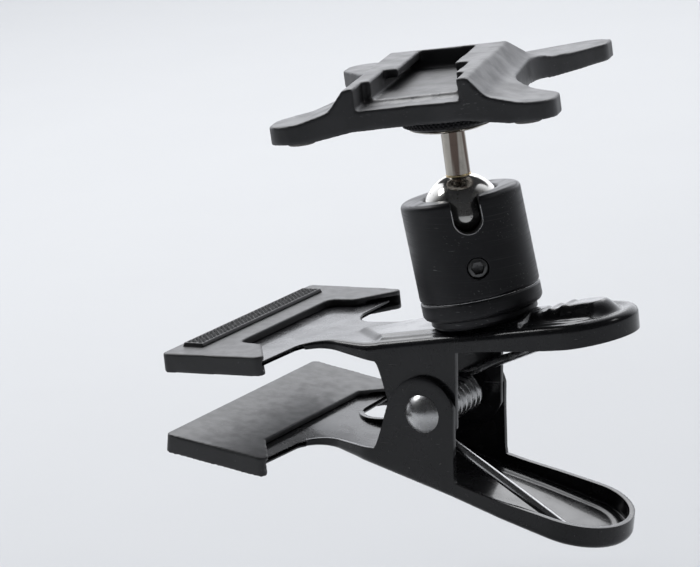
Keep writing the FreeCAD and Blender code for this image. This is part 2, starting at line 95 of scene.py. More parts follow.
UPPER = Matrix.Translation(PIVOT)
LOWER = Matrix.Translation(PIVOT) @ turned(JAW_REST, "Y") @ turned(180, "X")
HEAD = Matrix.Translation(BALL - HEAD_AXIS * BALL_HEIGHT) @ turned(-HEAD_LEAN, "Y")
STEM = Matrix.Translation(BALL) @ turned(-STEM_LEAN, "Y")
STAND = STEM @ turned(STAND_TURN, "Z")
RISE = math.tan(math.radians(HEAD_LEAN))


# ---------------------------------------------------------------- materials

class Finish:
    """Builds one procedural material on a Principled shader, in object coordinates."""

    def __init__(self, name, colour, rough, metallic=0.0):
        self.material = bpy.data.materials.new(name)
        self.material.use_nodes = True
        self.tree = self.material.node_tree
        self.shader = self.tree.nodes["Principled BSDF"]
        self.place = self.add("ShaderNodeTexCoord").outputs["Object"]
        self.shader.inputs["Metallic"].default_value = metallic
        self.colour = None
        self.rough = None
        self.height = None
        self.base = (*colour, 1.0)
        self.base_rough = rough

    def add(self, kind, **settings):
        node = self.tree.nodes.new(kind)
        for key, value in settings.items():
            setattr(node, key, value)
        return node

    def link(self, output, socket):
        self.tree.links.new(output, socket)

    def noise(self, size_mm, detail=4.0, stretch=(1, 1, 1), turn=(0, 0, 0), distortion=0.0):
        """Noise whose features are about size_mm long, stretched along the turned axes."""
        mapping = self.add("ShaderNodeMapping")
        self.link(self.place, mapping.inputs["Vector"])
        mapping.inputs["Rotation"].default_value = [math.radians(angle) for angle in turn]
        mapping.inputs["Scale"].default_value = [1.0 / (MM * size_mm * part) for part in stretch]
        node = self.add("ShaderNodeTexNoise")
        node.inputs["Scale"].default_value = 1.0
        node.inputs["Detail"].default_value = detail
        node.inputs["Distortion"].default_value = distortion
        self.link(mapping.outputs["Vector"], node.inputs["Vector"])
        return node.outputs["Fac"]

    def level(self, value, low, high, out_low=0.0, out_high=1.0):
        """A value spread over a new range and clamped to it."""
        node = self.add("ShaderNodeMapRange")
        node.interpolation_type = "SMOOTHSTEP"
        self.link(value, node.inputs["Value"])
        limits = {"From Min": low, "From Max": high, "To Min": out_low, "To Max": out_high}
        for name, number in limits.items():
            node.inputs[name].default_value = number
        return node.outputs["Result"]

    def compute(self, operation, a, b):
        """Arithmetic of two values, each a socket or a number."""
        node = self.add("ShaderNodeMath", operation=operation)
        for socket, value in zip(node.inputs, (a, b)):
            if isinstance(value, (int, float)):
                socket.default_value = value
            else:
                self.link(value, socket)
        return node.outputs["Value"]

    def tint(self, mask, colour):
        """Mix another colour in where the mask is 1."""
        node = self.add("ShaderNodeMix", data_type="RGBA")
        if self.colour is None:
            node.inputs["A"].default_value = self.base
        else:
            self.link(self.colour, node.inputs["A"])
        node.inputs["B"].default_value = (*colour, 1.0)
        self.link(mask, node.inputs["Factor"])
        self.colour = node.outputs["Result"]

    def roughen(self, mask, amount):
        """Add to the roughness where the mask is 1."""
        extra = self.compute("MULTIPLY", mask, amount)
        self.rough = self.compute("ADD", self.rough or self.base_rough, extra)

    def raise_by(self, value, depth_mm):
        """Add a bump of a given depth."""
        step = self.compute("MULTIPLY", value, depth_mm * MM)
        self.height = step if self.height is None else self.compute("ADD", self.height, step)

    def scratches(self, turn, threshold, long_mm=9.0):
        """Thin broken lines along one direction."""
        line = self.noise(0.35, 2.0, (long_mm / 0.35, 1, 1), turn, 0.3)
        patch = self.level(self.noise(7.0, 2.0, turn=turn), 0.5, 0.62)
        return self.compute("MULTIPLY", self.level(line, threshold, threshold + 0.04), patch)

    def specks(self, size_mm, threshold):
        """Small isolated spots."""
        return self.level(self.noise(size_mm, 1.0), threshold, threshold + 0.025)

    def near(self, spot_mm, reach_mm):
        """1 at a point of the row's frame and 0 beyond a reach from it."""
        node = self.add("ShaderNodeVectorMath", operation="DISTANCE")
        self.link(self.place, node.inputs[0])
        node.inputs[1].default_value = spot_mm * MM
        return self.level(node.outputs["Value"], reach_mm * MM, 0.0)

    def finished(self, coat=0.0, coat_rough=0.1, gloss=0.5):
        if self.colour is None:
            self.shader.inputs["Base Color"].default_value = self.base
        else:
            self.link(self.colour, self.shader.inputs["Base Color"])
        if self.rough is None:
            self.shader.inputs["Roughness"].default_value = self.base_rough
        else:
            self.link(self.rough, self.shader.inputs["Roughness"])
        if self.height is not None:
            bump = self.add("ShaderNodeBump")
            bump.inputs["Strength"].default_value = 1.0
            bump.inputs["Distance"].default_value = 1.0
            self.link(self.height, bump.inputs["Height"])
            self.link(bump.outputs["Normal"], self.shader.inputs["Normal"])
        self.shader.inputs["Specular IOR Level"].default_value = gloss
        self.shader.inputs["Coat Weight"].default_value = coat
        self.shader.inputs["Coat Roughness"].default_value = coat_rough
        return self.material


def enamel():
    """Black stoving enamel: glossy, a little orange peel, dust and hairline scratches."""
    finish = Finish("black_enamel", (0.011, 0.011, 0.012), 0.2)
    finish.tint(finish.level(finish.noise(14.0), 0.35, 0.75), (0.017, 0.017, 0.019))
    finish.tint(finish.scratches((10, 20, 35), 0.69), (0.12, 0.12, 0.12))
    finish.tint(finish.specks(0.5, 0.775), (0.16, 0.16, 0.15))
    finish.roughen(finish.level(finish.noise(6.0, 6.0), 0.35, 0.8), 0.16)
    finish.roughen(finish.scratches((10, 20, -50), 0.68), 0.25)
    finish.raise_by(finish.noise(1.1, 3.0), 0.012)
    finish.raise_by(finish.specks(0.5, 0.775), 0.02)
    return finish.finished(coat=0.3, coat_rough=0.07, gloss=0.3)


def rubber(name, colour, rough):
    """Moulded rubber: satin skin, fine grain, pale dust in patches."""
    finish = Finish(name, colour, rough)
    light = tuple(1.5 * part for part in colour)
    finish.tint(finish.level(finish.noise(5.0, 6.0), 0.45, 0.8), light)
    finish.tint(finish.specks(0.45, 0.765), tuple(5.0 * part for part in colour))
    finish.roughen(finish.level(finish.noise(2.5, 5.0), 0.3, 0.75), 0.1)
    finish.raise_by(finish.noise(0.28, 3.0), 0.02)
    finish.raise_by(finish.noise(1.6, 2.0), 0.02)
    return finish.finished(gloss=0.7)


# where feet pushed into the shoe have rubbed its front ledge, and one rubbed corner
SCUFFS = [(across, -32.3, 31.1) for across in (-8.0, -3.0, 2.0, 7.0)] + [(-11.5, -33.5, 29.0)]


def moulding():
    """Injection-moulded black plastic: fine spark grain, rubbed and scuffed."""
    finish = Finish("black_moulding", (0.019, 0.019, 0.021), 0.4)
    finish.tint(finish.level(finish.noise(9.0, 6.0), 0.4, 0.8), (0.034, 0.034, 0.036))
    finish.tint(finish.scratches((0, 0, 18.5), 0.66, 5.0), (0.11, 0.11, 0.11))
    finish.tint(finish.scratches((0, 0, -60), 0.68, 7.0), (0.09, 0.09, 0.09))
    finish.tint(finish.specks(0.4, 0.785), (0.14, 0.14, 0.13))
    for x, y, z in SCUFFS:
        patch = finish.compute("ADD", finish.near(STAND @ Vector((x, y, z)), 5.5), finish.noise(0.9, 5.0))
        finish.tint(finish.level(patch, 0.98, 1.3), (0.15, 0.15, 0.145))
    finish.roughen(finish.level(finish.noise(5.0, 6.0), 0.3, 0.8), 0.16)
    finish.raise_by(finish.noise(0.22, 2.0), 0.012)
    finish.raise_by(finish.noise(2.2, 2.0), 0.012)
    return finish.finished(gloss=0.8)


def anodised():
    """Black anodised aluminium, finely turned about the head's axis."""
    finish = Finish("black_anodised", (0.02, 0.02, 0.022), 0.33, 0.35)
    lean = (0, HEAD_LEAN, 0)
    rings = finish.noise(0.22, 3.0, (60, 60, 1), lean)
    finish.tint(finish.level(rings, 0.52, 0.8), (0.04, 0.04, 0.043))
    finish.tint(finish.level(finish.noise(8.0), 0.45, 0.8), (0.03, 0.03, 0.032))
    marks = finish.scratches((0, 90 + HEAD_LEAN, 20), 0.66, 10.0)
    finish.tint(marks, (0.13, 0.13, 0.13))
    finish.tint(finish.specks(0.4, 0.81), (0.09, 0.09, 0.09))
    finish.roughen(finish.level(rings, 0.4, 0.7), 0.14)
    finish.raise_by(rings, 0.012)
    finish.raise_by(marks, -0.01)
    return finish.finished(gloss=0.4)


def bare_metal(name, colour, rough, grain_turn, spot_colour, stretch=(30, 30, 1), spots=0.74,
               reflection_bands=None):
    """Turned or drawn bare metal with faint grain, stains, small dark spots and optional lengthwise bands of
    painted reflection.
    """
    finish = Finish(name, colour, rough, 1.0)
    grain = finish.noise(0.2, 3.0, stretch, grain_turn)
    finish.tint(finish.level(finish.noise(3.0, 5.0), 0.5, 0.85), tuple(0.7 * part for part in colour))
    finish.tint(finish.specks(0.55, spots), spot_colour)
    # Lengthwise dark bands painted into the colour: a painted reflection of the surroundings.
    if reflection_bands:
        finish.tint(finish.level(finish.noise(1.9, 1.0, (1, 1, 30), grain_turn), 0.46, 0.6), reflection_bands)
    finish.roughen(finish.level(finish.noise(2.2, 5.0), 0.35, 0.8), 0.14)
    finish.roughen(finish.specks(0.55, spots), 0.3)
    finish.raise_by(grain, 0.0015)
    return finish.finished()


def plain_plastic():
    """Pale acetal with a soft sheen."""
    finish = Finish("white_plastic", (0.75, 0.75, 0.72), 0.4)
    finish.tint(finish.level(finish.noise(3.0), 0.4, 0.8), (0.66, 0.66, 0.62))
    finish.roughen(finish.noise(1.0), 0.1)
    finish.raise_by(finish.noise(0.4), 0.01)
    return finish.finished()


DARK_SPOT = (0.05, 0.045, 0.04)
MATERIALS = {
    "black_enamel": enamel(),
    "black_rubber": rubber("black_rubber", (0.024, 0.024, 0.025), 0.42),
    "zinc_rivet": bare_metal("zinc_rivet", (0.6, 0.6, 0.6), 0.24, (90, 0, 0), (0.2, 0.2, 0.2)),
    "spring_steel": bare_metal("spring_steel", (0.55, 0.55, 0.55), 0.22, (0, 0, 0), DARK_SPOT, (1, 1, 1)),
    "black_anodised": anodised(),
    "black_steel": bare_metal("black_steel", (0.13, 0.13, 0.13), 0.28, (0, 0, 0), DARK_SPOT),
    "white_plastic": plain_plastic(),
    "chrome_ball": bare_metal("chrome_ball", (0.6, 0.59, 0.56), 0.09, (0, 0, 0), (0.1, 0.09, 0.08),
                              spots=0.69),
    # The stem's brown lengthwise bands are a painted reflection.
    "nickel_stem": bare_metal("nickel_stem", (0.5, 0.47, 0.42), 0.13, (0, STEM_LEAN, 0), (0.25, 0.22, 0.18),
                              reflection_bands=(0.16, 0.12, 0.1)),
    "black_moulding": moulding(),
    "brass_insert": bare_metal("brass_insert", (0.6, 0.48, 0.28), 0.25, (0, 0, 0), DARK_SPOT),
    "foot_rubber": rubber("foot_rubber", (0.16, 0.15, 0.14), 0.6),
}
for entry in frame["record"]["subparts"]:
    node = frame["nodes"][entry["node"]]
    node.data.materials.clear()
    node.data.materials.append(MATERIALS[entry["material_slot"]])


# ---------------------------------------------------------------- mesh helpers

def rounded(points, step=0.3, closed=True):
    """A polyline through (x, y, corner radius) points with each corner turned into an arc."""
    line = []
    count = len(points)
    for i, (x, y, radius) in enumerate(points):
        corner = Vector((x, y))
        if radius == 0 or (not closed and i in (0, count - 1)):
            line.append(corner)
            continue
        before = (Vector(points[i - 1][:2]) - corner).normalized()
        after = (Vector(points[(i + 1) % count][:2]) - corner).normalized()
        half = before.angle(after) / 2
        start = corner + before * (radius / math.tan(half))
        centre = corner + (before + after).normalized() * (radius / math.sin(half))
        sweep = math.pi - 2 * half
        steps = max(2, int(radius * sweep / step))
        turn = 1 if before.x * after.y - before.y * after.x < 0 else -1
        arm = start - centre
        for k in range(steps + 1):
            angle = turn * sweep * k / steps
            line.append(centre + Vector((arm.x * math.cos(angle) - arm.y * math.sin(angle),
                                         arm.x * math.sin(angle) + arm.y * math.cos(angle))))
    return line


def even(line, step):
    """The same open polyline, cut into pieces of equal length."""
    lengths = [0.0]
    for a, b in zip(line, line[1:]):
        lengths.append(lengths[-1] + (b - a).length)
    count = max(2, round(lengths[-1] / step))
    out, i = [], 0
    for k in range(count + 1):
        want = lengths[-1] * k / count
        while i < len(line) - 2 and lengths[i + 1] < want:
            i += 1
        span = lengths[i + 1] - lengths[i]
        out.append(line[i].lerp(line[i + 1], 0.0 if span == 0 else (want - lengths[i]) / span))
    return out


def solid(name, vertices, faces, place):
    """A mesh object from vertices in millimetres in a sub-assembly's frame."""
    mesh = bpy.data.meshes.new(name)
    mesh.from_pydata([MM * (place @ Vector(v)) for v in vertices], [], faces)
    mesh.validate()
    obj = bpy.data.objects.new(name, mesh)
    bpy.context.scene.collection.objects.link(obj)
    return obj


def tidied(obj, merge_mm=0.002):
    """Merge doubled vertices and turn all faces outwards."""
    work = bmesh.new()
    work.from_mesh(obj.data)
    bmesh.ops.remove_doubles(work, verts=work.verts, dist=merge_mm * MM)
    bmesh.ops.dissolve_degenerate(work, edges=work.edges, dist=merge_mm * MM / 4)
    bmesh.ops.recalc_face_normals(work, faces=work.faces)
    work.to_mesh(obj.data)
    work.free()
    return obj


def with_modifier(obj, kind, **settings):
    modifier = obj.modifiers.new(kind.lower(), kind)
    for key, value in settings.items():
        setattr(modifier, key, value)
    return modifier


def applied(obj):
    """Turn the object's modifiers into mesh."""
    graph = bpy.context.evaluated_depsgraph_get()
    mesh = bpy.data.meshes.new_from_object(obj.evaluated_get(graph))
    obj.modifiers.clear()
    old, obj.data = obj.data, mesh
    mesh.name = obj.name
    bpy.data.meshes.remove(old)
    return obj


def shown(obj, body, slot, nodes=(), sharp=38):
    """Give a finished piece its material, shading and body, and hide the nodes that it stands for."""
    obj.data.materials.clear()
    obj.data.materials.append(MATERIALS[slot])
    obj.data.shade_smooth()
    obj.data.set_sharp_from_angle(angle=math.radians(sharp))
    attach(obj, body)
    if nodes:
        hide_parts(*nodes)
    return obj


def lathe(name, profile, place, segments=160, wobble=None):
    """A closed profile of (radius, height) points turned about Z. A radius of 0 lies on the axis."""
    vertices, faces = [], []
    count = len(profile)
    for s in range(segments):
        angle = 2 * math.pi * s / segments
        for radius, height in profile:
            r = radius + (wobble(s, radius, height) if wobble else 0.0)
            vertices.append((r * math.cos(angle), r * math.sin(angle), height))
    for s in range(segments):
        following = (s + 1) % segments
        for i in range(count):
            j = (i + 1) % count
            faces.append((s * count + i, following * count + i, following * count + j, s * count + j))
    return tidied(solid(name, vertices, faces, place))


def tube(name, path, radius, place, sides=16):
    """A round wire along a path, its two ends slightly rounded off."""
    vertices, faces = [], []
    side = Vector((0, 1, 0))
    last = len(path) - 1
    for i, spot in enumerate(path):
        along = (path[min(i + 1, last)] - path[max(i - 1, 0)]).normalized()
        side = (side - along * side.dot(along)).normalized()
        other = along.cross(side)
        thin = 0.82 if i in (0, last) else 1.0
        for s in range(sides):
            angle = 2 * math.pi * s / sides
            vertices.append(spot + (side * math.cos(angle) + other * math.sin(angle)) * (radius * thin))
    for i in range(last):
        for s in range(sides):
            t = (s + 1) % sides
            faces.append((i * sides + s, i * sides + t, (i + 1) * sides + t, (i + 1) * sides + s))
    faces.append(tuple(range(sides)))
    faces.append(tuple(range(last * sides, len(path) * sides)))
    return tidied(solid(name, vertices, faces, place))


def smooth_step(value, low, high):
    t = min(1.0, max(0.0, (value - low) / (high - low)))
    return t * t * (3 - 2 * t)


# ---------------------------------------------------------------- levers

UPPER_HALF, LOWER_HALF = 10.9, 12.3
UPPER_END, LOWER_END = 48.3, 46.9
FLARE, WAIST, TEE_HALF = 0.9, 8.2, 29.6
TEE_FRONT, TEE_BACK = 53.5, 30.5
LOBE = 8.4
FLANGE_NEAR, FLANGE_FAR = 4.0, 5.4
FOLD = 1.7               # outside radius of the folded edge
PLATE_STEPS, FOLD_STEPS, FLANGE_STEPS = 26, 6, 12
EAR_FRONT, EAR_REAR = -7.6, 7.9
EAR_CORNER = 1.4         # run of the corner between the ear and the handle's flange
EAR_LOW = -3.4           # lower end of the ear's front edge
WAIST_REAR, WAIST_LOW, WAIST_CLIMB = -12.0, 11.2, 2.6
STAR = -40.0             # the tee's plate fans out from here
TAPER = -28.0            # ahead of this, every strip of the plate starts at STAR


def plate_level(x):
    """Height of the lever's outer face, with the bend eased over a few millimetres."""
    past = x - BEND
    ease = 3.0
    if past > ease:
        return PLATE_TOP + past * RISE
    if past < -ease:
        return PLATE_TOP
    return PLATE_TOP + RISE * (past + ease) ** 2 / (4 * ease)


def flange_low(x):
    """Height of the flange's lower edge along the lever."""
    if x > EAR_REAR + EAR_CORNER:
        return plate_level(x) - FLANGE_NEAR - (FLANGE_FAR - FLANGE_NEAR) * smooth_step(x, 10.0, 40.0)
    if x > EAR_REAR:
        rim = plate_level(x) - (FLANGE_NEAR + 0.2)
        return 0.5 + (rim - 0.5) * (x - EAR_REAR) / EAR_CORNER
    if x > EAR_FRONT:
        return -math.sqrt(max(0.0, LOBE ** 2 - (x * 1.03) ** 2))
    if x > WAIST_REAR:
        return EAR_LOW + (WAIST_LOW - EAR_LOW) * smooth_step(-x, -EAR_FRONT, -WAIST_REAR)
    if x > -TEE_BACK:
        return WAIST_LOW + WAIST_CLIMB * (WAIST_REAR - x) / (TEE_BACK + WAIST_REAR)
    return PLATE_TOP - SHEET


def panel_height(x, y):
    """Relief of the upper plate: the panel under the head, ridges and dome at the handle's end."""
    side = 8.8 - abs(y)
    ahead = x - HEAD_BACK + 33.0
    point = (ahead - abs(y) * 10.5 / 8.8) * 0.64
    back = 13.0 - (x - HEAD_BACK)
    height = 1.0 * smooth_step(min(side, point, back), -0.7, 0.9)
    reach = math.hypot(max(0.0, abs(x - 32.6) - 6.6), y * 1.06)
    height += (1.1 + 1.7 * smooth_step(x, 22.0, 38.0)) * smooth_step(6.4 - reach, 0.0, 4.2)
    ahead = (x - 24.0 - 0.04 * y * y) / 3.4
    if 0.0 < ahead < 3.0:
        ridge = math.sin(math.pi * ahead) ** 2
        height += 0.45 * ridge * smooth_step(4.8 - abs(y), 0.0, 1.5)
    return height


def lower_relief(x, y):
    """The lower plate is plain."""
    return 0.0


def groove(distance):
    """A shallow trough in the plate, just inside the fold."""
    return -0.45 * math.exp(-((distance - 1.6) / 0.9) ** 2)


def spine(x, last):
    """The point of the middle line from which the plate's strips run to an outline point at x."""
    if x < TAPER:
        return STAR
    if x < BEND:
        return BEND + (x - BEND) * (STAR - BEND) / (TAPER - BEND)
    return min(x, last)


def lever(name, half_width, end, relief, place, body, node):
    """A pressed lever: plate, folded edge, flange and ears, half of it drawn and mirrored."""
    flare = half_width + FLARE
    corners = [
        (-TEE_FRONT, 0.0, 0), (-TEE_FRONT, TEE_HALF, 1.5), (-TEE_BACK, TEE_HALF - 0.8, 1.5),
        (-TEE_BACK + 0.6, WAIST + 5.5, 6.0), (-26.0, WAIST, 5.0), (BEND + 1, half_width, 10.0),
        (8.0, half_width, 30.0), (22.0, flare, 30.0), (end, flare, flare - 0.01), (end, 0.0, 0),
    ]
    outline = even(rounded(corners, 0.2, closed=False), 0.36)
    last = end - flare
    rows = []
    for i, edge in enumerate(outline):
        ahead = outline[max(0, i - 1)]
        behind = outline[min(len(outline) - 1, i + 1)]
        along = (behind - ahead).normalized()
        outward = Vector((-along.y, along.x))
        if i in (0, len(outline) - 1):
            outward = Vector((-1.0 if i == 0 else 1.0, 0.0))
        depth = max(0.5, plate_level(edge.x) - flange_low(edge.x) if edge.x > -TEE_BACK + 1.5 else 0.5)
        fold = min(FOLD, depth * 0.45)
        inner = edge - outward * fold
        root = Vector((spine(edge.x, last), 0.0))
        row = []
        for k in range(PLATE_STEPS + 1):
            spot = root.lerp(inner, k / PLATE_STEPS)
            trough = groove((inner - spot).length) * smooth_step(spot.x, -16.0, -8.0)
            row.append((spot.x, spot.y, plate_level(spot.x) + relief(spot.x, spot.y) + trough))
        top = row[-1][2]
        for k in range(1, FOLD_STEPS + 1):
            angle = math.pi / 2 * k / FOLD_STEPS
            spot = inner + outward * (fold * math.sin(angle))
            row.append((spot.x, spot.y, top - fold * (1 - math.cos(angle))))
        start = top - fold
        for k in range(1, FLANGE_STEPS + 1):
            row.append((edge.x, edge.y, start + (plate_level(edge.x) - depth - start) * k / FLANGE_STEPS))
        rows.append(row)
    wide = len(rows[0])
    vertices = [v for row in rows for v in row]
    offset = len(vertices)
    vertices += [(x, -y, z) for x, y, z in vertices]
    faces = []
    for i in range(len(rows) - 1):
        for j in range(wide - 1):
            a, b, c, d = i * wide + j, i * wide + j + 1, (i + 1) * wide + j + 1, (i + 1) * wide + j
            faces.append((a, b, c, d))
            faces.append((offset + d, offset + c, offset + b, offset + a))
    obj = tidied(solid(name, vertices, faces, place), 0.01)
    outward_up = (place.to_3x3() @ Vector((0, 0, 1))).normalized()
    flat = max(obj.data.polygons, key=lambda p: abs(p.normal.dot(outward_up)))
    if flat.normal.dot(outward_up) < 0:
        obj.data.flip_normals()
    with_modifier(obj, "SOLIDIFY", thickness=SHEET * MM, offset=-1.0, use_even_offset=False)
    with_modifier(obj, "BEVEL", width=0.22 * MM, segments=2, limit_method="ANGLE",
                  angle_limit=math.radians(55))
    return shown(applied(obj), body, "black_enamel", [node])


lever("upper_lever_pressing", UPPER_HALF, UPPER_END, panel_height, UPPER, "clamp", "upper_lever")
lever("lower_lever_pressing", LOWER_HALF, LOWER_END, lower_relief, LOWER, "lower_jaw", "lower_lever")


# ---------------------------------------------------------------- moulded pieces

def moulded(name, node, voxel, smoothing, cutters=()):
    """A copy of a plain node with all its edges softened, as a moulding has them."""
    obj = frame["nodes"][node].copy()
    obj.data = obj.data.copy()
    obj.name = obj.data.name = name
    for key in list(obj.keys()):
        del obj[key]
    obj.parent = None
    obj.matrix_world = Matrix.Identity(4)
    bpy.context.scene.collection.objects.link(obj)
    tidied(obj, 0.005)
    for cutter in cutters:
        with_modifier(obj, "BOOLEAN", operation="DIFFERENCE", object=cutter, solver="EXACT")
    with_modifier(obj, "REMESH", mode="VOXEL", voxel_size=voxel * MM, adaptivity=0.0)
    with_modifier(obj, "SMOOTH", factor=0.5, iterations=smoothing)
    applied(obj)
    for cutter in cutters:
        bpy.data.objects.remove(cutter)
    return obj


def block(name, low, high, place):
    """A box used to cut a recess."""
    (x0, y0, z0), (x1, y1, z1) = low, high
    vertices = [(x, y, z) for x in (x0, x1) for y in (y0, y1) for z in (z0, z1)]
    faces = [(0, 1, 3, 2), (4, 6, 7, 5), (0, 4, 5, 1), (2, 3, 7, 6), (0, 2, 6, 4), (1, 5, 7, 3)]
    return tidied(solid(name, vertices, faces, place))


GRIP_X, GRIP_HALF_LONG, GRIP_HALF_WIDE = -50.4, 25.5, 2.75
PAD_TOP = 12.4 + 4.4


def jaw_pad(name, node, place, body):
    """A rubber sleeve with open wing ends and a diamond pattern on its raised strip."""
    cutters = []
    for side in (-1, 1):
        low, high = sorted((side * 22.6, side * 29.9))
        cutters.append(block("wing_opening", (-34.5, low, 13.3), (-20.0, high, 15.7), place))
    obj = moulded(name, node, 0.3, 3, cutters)
    inverse = place.inverted()
    for vertex in obj.data.vertices:
        spot = inverse @ (vertex.co / MM)
        if spot.z > PAD_TOP - 0.05:
            spot.z = PAD_TOP
            vertex.co = MM * (place @ spot)
    shown(obj, body, "black_rubber", [node], 60)
    grip_strip(name.replace("sleeve", "grip_strip"), place, body)


def grip_strip(name, place, body):
    """The raised strip with its rows of small pyramids."""
    cell, pitch, high = 0.15, 1.45, 0.9
    across, along = int(2 * GRIP_HALF_WIDE / cell), int(2 * GRIP_HALF_LONG / cell)
    vertices, faces = [], []
    for i in range(across + 1):
        for j in range(along + 1):
            x, y = -GRIP_HALF_WIDE + i * cell, -GRIP_HALF_LONG + j * cell
            rim = min(GRIP_HALF_WIDE - abs(x), GRIP_HALF_LONG - abs(y))
            height = (high + 0.1) * smooth_step(rim, -0.05, 0.35) - 0.1
            if rim > 0.5:
                u, v = (x + y) / pitch, (x - y) / pitch
                slope = max(abs((u % 1.0) - 0.5), abs((v % 1.0) - 0.5)) * 2
                height -= 0.62 * smooth_step(slope, 0.25, 1.0) * smooth_step(rim, 0.5, 0.9)
            vertices.append((GRIP_X + x, y, PAD_TOP + height))
    for i in range(across):
        for j in range(along):
            a = i * (along + 1) + j
            faces.append((a, a + along + 1, a + along + 2, a + 1))
    obj = solid(name, vertices, faces, place)
    shown(obj, body, "black_rubber", sharp=50)


jaw_pad("upper_jaw_sleeve", "upper_jaw_pad", UPPER, "clamp")
jaw_pad("lower_jaw_sleeve", "lower_jaw_pad", LOWER, "lower_jaw")

stand = moulded("stand_moulding", "stand_body", 0.36, 4)
shown(stand, "stand", "black_moulding", ["stand_body"], 60)
for node in [name for name in frame["nodes"] if name.startswith("stand_foot")]:
    low, high = (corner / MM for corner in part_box(node))
    middle = STAND.inverted() @ ((low + high) / 2)
    foot_profile = rounded([(0, -0.35, 0), (3.0, -0.35, 0.3), (3.0, 0.35, 0), (0, 0.35, 0)], 0.08)
    foot = lathe(node + "_disc", [(p.x, p.y) for p in foot_profile], STAND @ Matrix.Translation(middle), 64)
    shown(foot, "stand", "foot_rubber", [node])


# ---------------------------------------------------------------- ball head

NOTCH_TURN, NOTCH_HALF, GRUB_HEIGHT = -55.5, 3.15, 14.4
HOUSING_RADIUS = 13.5

def turned_piece(name, corners, place, body, slot, nodes=(), segments=160, wobble=None):
    """A turned part from a closed outline of (radius, height, corner radius) points."""
    line = [(p.x, p.y) for p in rounded(corners, 0.12)]
    return shown(lathe(name, line, place, segments, wobble), body, slot, nodes)


turned_piece("head_base_ring", [
    (3.0, 1.0, 0), (11.2, 1.0, 0.1), (12.0, 1.8, 0.3), (12.0, 2.9, 0.2), (13.1, 3.5, 0.3), (13.5, 4.2, 0.3),
    (13.5, 6.9, 0.2), (13.15, 7.3, 0.1), (10.5, 7.3, 0), (10.5, 10.9, 0.2), (9.3, 11.9, 0.2),
    (9.3, 15.6, 0.2), (3.0, 15.6, 0.1),
], HEAD, "clamp", "black_anodised", ["head_base"])

# A thin bright metal ring where the housing meets the base: a painted highlight along the rim's bevel.
turned_piece("head_joint_highlight", [
    (12.2, 7.26, 0), (13.28, 7.26, 0.03), (13.28, 7.38, 0.03), (12.2, 7.38, 0),
], HEAD, "clamp", "zinc_rivet")


def housing():
    """The outer shell, with its stem notch and screw hole cut and all edges eased."""
    cavity, opening, outer, top = 9.05, 8.2, HOUSING_RADIUS, 29.75
    crown = math.sqrt(cavity ** 2 - opening ** 2)
    inner = [(opening, BALL_HEIGHT + crown)]
    for k in range(1, 9):
        angle = math.atan2(crown, opening) * (1 - k / 8)
        inner.append((cavity * math.cos(angle), BALL_HEIGHT + cavity * math.sin(angle)))
    corners = [(10.6, 7.4, 0), (13.2, 7.4, 0.1), (outer, 7.8, 0.2), (outer, top, 1.1),
               (opening + 0.1, top, 0.5)]
    line = [(p.x, p.y) for p in rounded(corners, 0.12)]
    line += inner + [(cavity, 16.0), (10.6, 16.0)]
    shell = lathe("housing_shell", line, HEAD, 256)
    half_turn = [math.pi + math.pi * k / 24 for k in range(25)]
    slot = [(NOTCH_HALF * math.cos(angle), NOTCH_HALF * math.sin(angle)) for angle in half_turn]
    slot += [(NOTCH_HALF, 20.0), (-NOTCH_HALF, 20.0)]
    side = HEAD @ turned(NOTCH_TURN, "Z")
    notch = prism("notch_cutter", slot, 4.0, 20.0, side @ Matrix.Translation((0, 0, BALL_HEIGHT)))
    hole = [(2.4 * math.cos(2 * math.pi * k / 40), 2.4 * math.sin(2 * math.pi * k / 40)) for k in range(40)]
    bore = prism("grub_cutter", hole, 8.0, 20.0, side @ Matrix.Translation((0, 0, GRUB_HEIGHT)))
    for cutter in (notch, bore):
        with_modifier(shell, "BOOLEAN", operation="DIFFERENCE", object=cutter, solver="EXACT")
    with_modifier(shell, "REMESH", mode="VOXEL", voxel_size=0.2 * MM, adaptivity=0.0)
    with_modifier(shell, "SMOOTH", factor=0.5, iterations=3)
    applied(shell)
    for cutter in (notch, bore):
        bpy.data.objects.remove(cutter)
    inverse = HEAD.inverted()
    for vertex in shell.data.vertices:
        spot = inverse @ (vertex.co / MM)
        radius = math.hypot(spot.x, spot.y)
        if radius > outer - 0.12 and 8.0 < spot.z < top - 1.1:
            spot.x *= outer / radius
            spot.y *= outer / radius
            vertex.co = MM * (HEAD @ spot)
    return shown(shell, "housing", "black_anodised", ["ball_housing"], 60)


def prism(name, outline, near, far, place):
    """An outline of (across, up) points in the YZ plane, extruded along X."""
    count = len(outline)
    vertices = [(x, a, b) for x in (near, far) for a, b in outline]
    faces = [tuple(range(count)), tuple(range(2 * count - 1, count - 1, -1))]
    for i in range(count):
        j = (i + 1) % count
        faces.append((i, count + i, count + j, j))
    return tidied(solid(name, vertices, faces, place))


housing()


def notch_edge():
    """The bare bright chamfer round the notch's outer edge."""
    half, radius = NOTCH_HALF + 0.1, HOUSING_RADIUS - 0.02
    path = []
    for k in range(49):
        angle = math.pi + math.pi * k / 48
        across, up = half * math.cos(angle), BALL_HEIGHT + half * math.sin(angle)
        path.append(Vector((math.sqrt(radius ** 2 - across ** 2), across, up)))
    rise = [Vector((0, 0, 0.35 * k)) for k in range(1, 9)]
    path = [path[0] + step for step in reversed(rise)] + path + [path[-1] + step for step in rise]
    edge = tube("notch_edge", path, 0.11, HEAD @ turned(NOTCH_TURN, "Z"), 8)
    return shown(edge, "housing", "zinc_rivet", sharp=60)


notch_edge()

SCREW_SIDE = HEAD @ turned(NOTCH_TURN, "Z") @ Matrix.Translation((0, 0, GRUB_HEIGHT)) @ turned(90, "Y")


